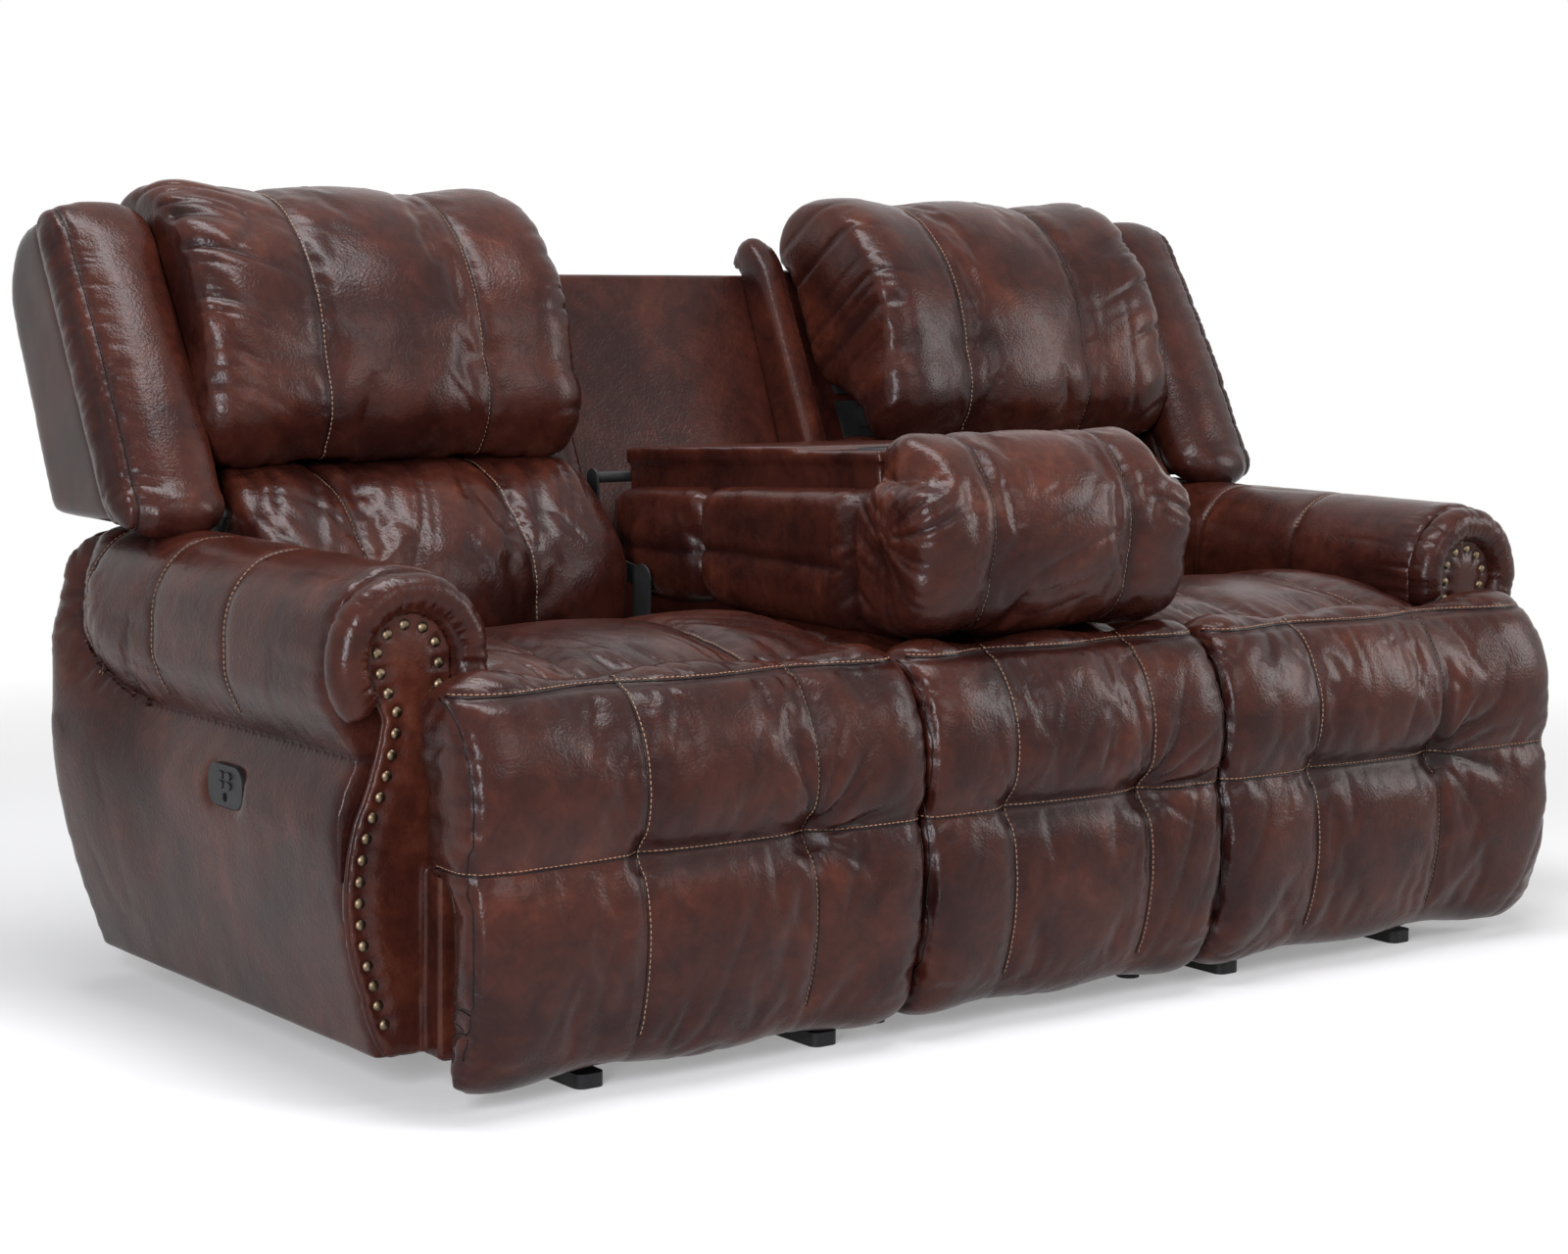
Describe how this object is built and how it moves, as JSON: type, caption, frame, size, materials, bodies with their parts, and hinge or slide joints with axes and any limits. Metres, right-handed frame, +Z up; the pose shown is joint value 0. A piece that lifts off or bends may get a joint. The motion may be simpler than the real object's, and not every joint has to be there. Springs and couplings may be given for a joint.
{
  "type": "sofa with drop down console",
  "caption": "Power reclining sofa with rolled arms, nailhead trim and a centre back that folds down into a console table with cup holders.",
  "frame": {"origin": "middle of the bounding box at floor level", "axes": "+X to the viewer's right along the sofa, +Y to its back, +Z up; console down, backs upright and footrests closed"},
  "size_m": [2.0166, 1.0925, 1.0754],
  "materials": {
    "leather": "polished two-tone leather",
    "board": "bare board",
    "steel": "satin black paint",
    "black_plastic": "satin black",
    "nail_brass": "antique"
  },
  "bodies": {
    "base": {"base_boards": "board", "base_rails": "steel", "feet": "black_plastic", "arm_left": "leather", "arm_right": "leather", "arm_ring_left": "leather", "arm_ring_right": "leather", "arm_front_panels": "leather", "nailheads": "nail_brass", "switch_plates": "black_plastic", "centre_seat_cushion": "leather", "centre_front_pad": "leather", "centre_rear_panel": "leather", "inner_wings": "leather", "console_ears": "steel"},
    "console": {"console_table": "leather", "cup_holders": "black_plastic", "console_cushion": "leather", "console_pillow": "leather", "console_arms": "steel"},
    "seat_left": {"seat_frame_left": "steel", "seat_cushion_left": "leather"},
    "drive_links_left": {"drive_links_left": "steel"},
    "steady_links_left": {"steady_links_left": "steel"},
    "knee_plates_left": {"knee_plates_left": "steel"},
    "upper_front_links_left": {"upper_front_links_left": "steel"},
    "lower_front_links_left": {"lower_front_links_left": "steel"},
    "pad_brackets_left": {"pad_brackets_left": "steel"},
    "footrest_left": {"footrest_board_left": "board", "footrest_pad_left": "leather"},
    "back_left": {"back_shell_left": "leather", "back_frame_left": "steel", "wing_pad_left": "leather", "lumbar_cushion_left": "leather"},
    "headrest_left": {"headrest_frame_left": "steel", "headrest_pillow_left": "leather"},
    "button_1_left": {"button_1_left": "black_plastic"},
    "button_2_left": {"button_2_left": "black_plastic"},
    "button_3_left": {"button_3_left": "black_plastic"},
    "button_4_left": {"button_4_left": "black_plastic"},
    "seat_right": {"seat_frame_right": "steel", "seat_cushion_right": "leather"},
    "drive_links_right": {"drive_links_right": "steel"},
    "steady_links_right": {"steady_links_right": "steel"},
    "knee_plates_right": {"knee_plates_right": "steel"},
    "upper_front_links_right": {"upper_front_links_right": "steel"},
    "lower_front_links_right": {"lower_front_links_right": "steel"},
    "pad_brackets_right": {"pad_brackets_right": "steel"},
    "footrest_right": {"footrest_board_right": "board", "footrest_pad_right": "leather"},
    "back_right": {"back_shell_right": "leather", "back_frame_right": "steel", "wing_pad_right": "leather", "lumbar_cushion_right": "leather"},
    "headrest_right": {"headrest_frame_right": "steel", "headrest_pillow_right": "leather"},
    "button_1_right": {"button_1_right": "black_plastic"},
    "button_2_right": {"button_2_right": "black_plastic"},
    "button_3_right": {"button_3_right": "black_plastic"},
    "button_4_right": {"button_4_right": "black_plastic"}
  },
  "joints": [
    {"name": "recline_left", "type": "hinge", "parent": "base", "child": "back_left", "pos_m": [-0.5315, 0.24914, 0.33], "axis": [-1, 0, 0], "range_deg": [0, 28]},
    {"name": "seat_slide_left", "type": "slide", "parent": "base", "child": "seat_left", "axis": [0, -1, 0], "range_m": [0, 0.07]},
    {"name": "headrest_left", "type": "hinge", "parent": "back_left", "child": "headrest_left", "pos_m": [-0.5315, 0.29973, 0.728], "axis": [1, 0, 0], "range_deg": [0, 20]},
    {"name": "footrest_drive_left", "type": "hinge", "parent": "seat_left", "child": "drive_links_left", "pos_m": [-0.5315, -0.199, 0.36], "axis": [-1, 0, 0], "range_deg": [0, 65]},
    {"name": "footrest_steady_left", "type": "hinge", "parent": "seat_left", "child": "steady_links_left", "pos_m": [-0.5315, -0.169, 0.327], "axis": [-1, 0, 0], "range_deg": [0, 65.05]},
    {"name": "footrest_knee_left", "type": "hinge", "parent": "drive_links_left", "child": "knee_plates_left", "pos_m": [-0.5315, -0.24947, 0.17164], "axis": [-1, 0, 0], "range_deg": [-65.05, 0]},
    {"name": "footrest_upper_left", "type": "hinge", "parent": "knee_plates_left", "child": "upper_front_links_left", "pos_m": [-0.5315, -0.27747, 0.17164], "axis": [-1, 0, 0], "range_deg": [-65.05, 0]},
    {"name": "footrest_lower_left", "type": "hinge", "parent": "knee_plates_left", "child": "lower_front_links_left", "pos_m": [-0.5315, -0.29847, 0.13164], "axis": [-1, 0, 0], "range_deg": [-65.05, 0]},
    {"name": "footrest_bracket_left", "type": "hinge", "parent": "upper_front_links_left", "child": "pad_brackets_left", "pos_m": [-0.5315, -0.37497, 0.34052], "axis": [-1, 0, 0], "range_deg": [0, 65.05]},
    {"name": "footrest_tilt_left", "type": "hinge", "parent": "upper_front_links_left", "child": "footrest_left", "pos_m": [-0.5315, -0.37497, 0.34052], "axis": [-1, 0, 0], "range_deg": [0, 155.05]},
    {"name": "button_1_left_press", "type": "slide", "parent": "base", "child": "button_1_left", "axis": [1, 0, 0], "range_m": [0, 0.0025], "stiffness_N_per_m": 400, "springref_m": -0.001},
    {"name": "button_2_left_press", "type": "slide", "parent": "base", "child": "button_2_left", "axis": [1, 0, 0], "range_m": [0, 0.0025], "stiffness_N_per_m": 400, "springref_m": -0.001},
    {"name": "button_3_left_press", "type": "slide", "parent": "base", "child": "button_3_left", "axis": [1, 0, 0], "range_m": [0, 0.0025], "stiffness_N_per_m": 400, "springref_m": -0.001},
    {"name": "button_4_left_press", "type": "slide", "parent": "base", "child": "button_4_left", "axis": [1, 0, 0], "range_m": [0, 0.0025], "stiffness_N_per_m": 400, "springref_m": -0.001},
    {"name": "recline_right", "type": "hinge", "parent": "base", "child": "back_right", "pos_m": [0.5315, 0.24914, 0.33], "axis": [-1, 0, 0], "range_deg": [0, 28]},
    {"name": "seat_slide_right", "type": "slide", "parent": "base", "child": "seat_right", "axis": [0, -1, 0], "range_m": [0, 0.07]},
    {"name": "headrest_right", "type": "hinge", "parent": "back_right", "child": "headrest_right", "pos_m": [0.5315, 0.29973, 0.728], "axis": [1, 0, 0], "range_deg": [0, 20]},
    {"name": "footrest_drive_right", "type": "hinge", "parent": "seat_right", "child": "drive_links_right", "pos_m": [0.5315, -0.199, 0.36], "axis": [-1, 0, 0], "range_deg": [0, 65]},
    {"name": "footrest_steady_right", "type": "hinge", "parent": "seat_right", "child": "steady_links_right", "pos_m": [0.5315, -0.169, 0.327], "axis": [-1, 0, 0], "range_deg": [0, 65.05]},
    {"name": "footrest_knee_right", "type": "hinge", "parent": "drive_links_right", "child": "knee_plates_right", "pos_m": [0.5315, -0.24947, 0.17164], "axis": [-1, 0, 0], "range_deg": [-65.05, 0]},
    {"name": "footrest_upper_right", "type": "hinge", "parent": "knee_plates_right", "child": "upper_front_links_right", "pos_m": [0.5315, -0.27747, 0.17164], "axis": [-1, 0, 0], "range_deg": [-65.05, 0]},
    {"name": "footrest_lower_right", "type": "hinge", "parent": "knee_plates_right", "child": "lower_front_links_right", "pos_m": [0.5315, -0.29847, 0.13164], "axis": [-1, 0, 0], "range_deg": [-65.05, 0]},
    {"name": "footrest_bracket_right", "type": "hinge", "parent": "upper_front_links_right", "child": "pad_brackets_right", "pos_m": [0.5315, -0.37497, 0.34052], "axis": [-1, 0, 0], "range_deg": [0, 65.05]},
    {"name": "footrest_tilt_right", "type": "hinge", "parent": "upper_front_links_right", "child": "footrest_right", "pos_m": [0.5315, -0.37497, 0.34052], "axis": [-1, 0, 0], "range_deg": [0, 155.05]},
    {"name": "button_1_right_press", "type": "slide", "parent": "base", "child": "button_1_right", "axis": [-1, 0, 0], "range_m": [0, 0.0025], "stiffness_N_per_m": 400, "springref_m": -0.001},
    {"name": "button_2_right_press", "type": "slide", "parent": "base", "child": "button_2_right", "axis": [-1, 0, 0], "range_m": [0, 0.0025], "stiffness_N_per_m": 400, "springref_m": -0.001},
    {"name": "button_3_right_press", "type": "slide", "parent": "base", "child": "button_3_right", "axis": [-1, 0, 0], "range_m": [0, 0.0025], "stiffness_N_per_m": 400, "springref_m": -0.001},
    {"name": "button_4_right_press", "type": "slide", "parent": "base", "child": "button_4_right", "axis": [-1, 0, 0], "range_m": [0, 0.0025], "stiffness_N_per_m": 400, "springref_m": -0.001},
    {"name": "console_fold", "type": "hinge", "parent": "base", "child": "console", "pos_m": [0, 0.119, 0.534], "axis": [-1, 0, 0], "range_deg": [0, 109]}
  ],
  "couplings": [
    {"joint": "seat_slide_left", "follows": "recline_left", "m_per_rad": 0.14303},
    {"joint": "footrest_steady_left", "follows": "footrest_drive_left", "ratio": 1},
    {"joint": "footrest_knee_left", "follows": "footrest_drive_left", "ratio": -1},
    {"joint": "footrest_upper_left", "follows": "footrest_drive_left", "ratio": -1},
    {"joint": "footrest_lower_left", "follows": "footrest_drive_left", "ratio": -1},
    {"joint": "footrest_bracket_left", "follows": "footrest_drive_left", "ratio": 1},
    {"joint": "footrest_tilt_left", "follows": "footrest_drive_left", "ratio": 2.3846},
    {"joint": "seat_slide_right", "follows": "recline_right", "m_per_rad": 0.14303},
    {"joint": "footrest_steady_right", "follows": "footrest_drive_right", "ratio": 1},
    {"joint": "footrest_knee_right", "follows": "footrest_drive_right", "ratio": -1},
    {"joint": "footrest_upper_right", "follows": "footrest_drive_right", "ratio": -1},
    {"joint": "footrest_lower_right", "follows": "footrest_drive_right", "ratio": -1},
    {"joint": "footrest_bracket_right", "follows": "footrest_drive_right", "ratio": 1},
    {"joint": "footrest_tilt_right", "follows": "footrest_drive_right", "ratio": 2.3846}
  ]
}
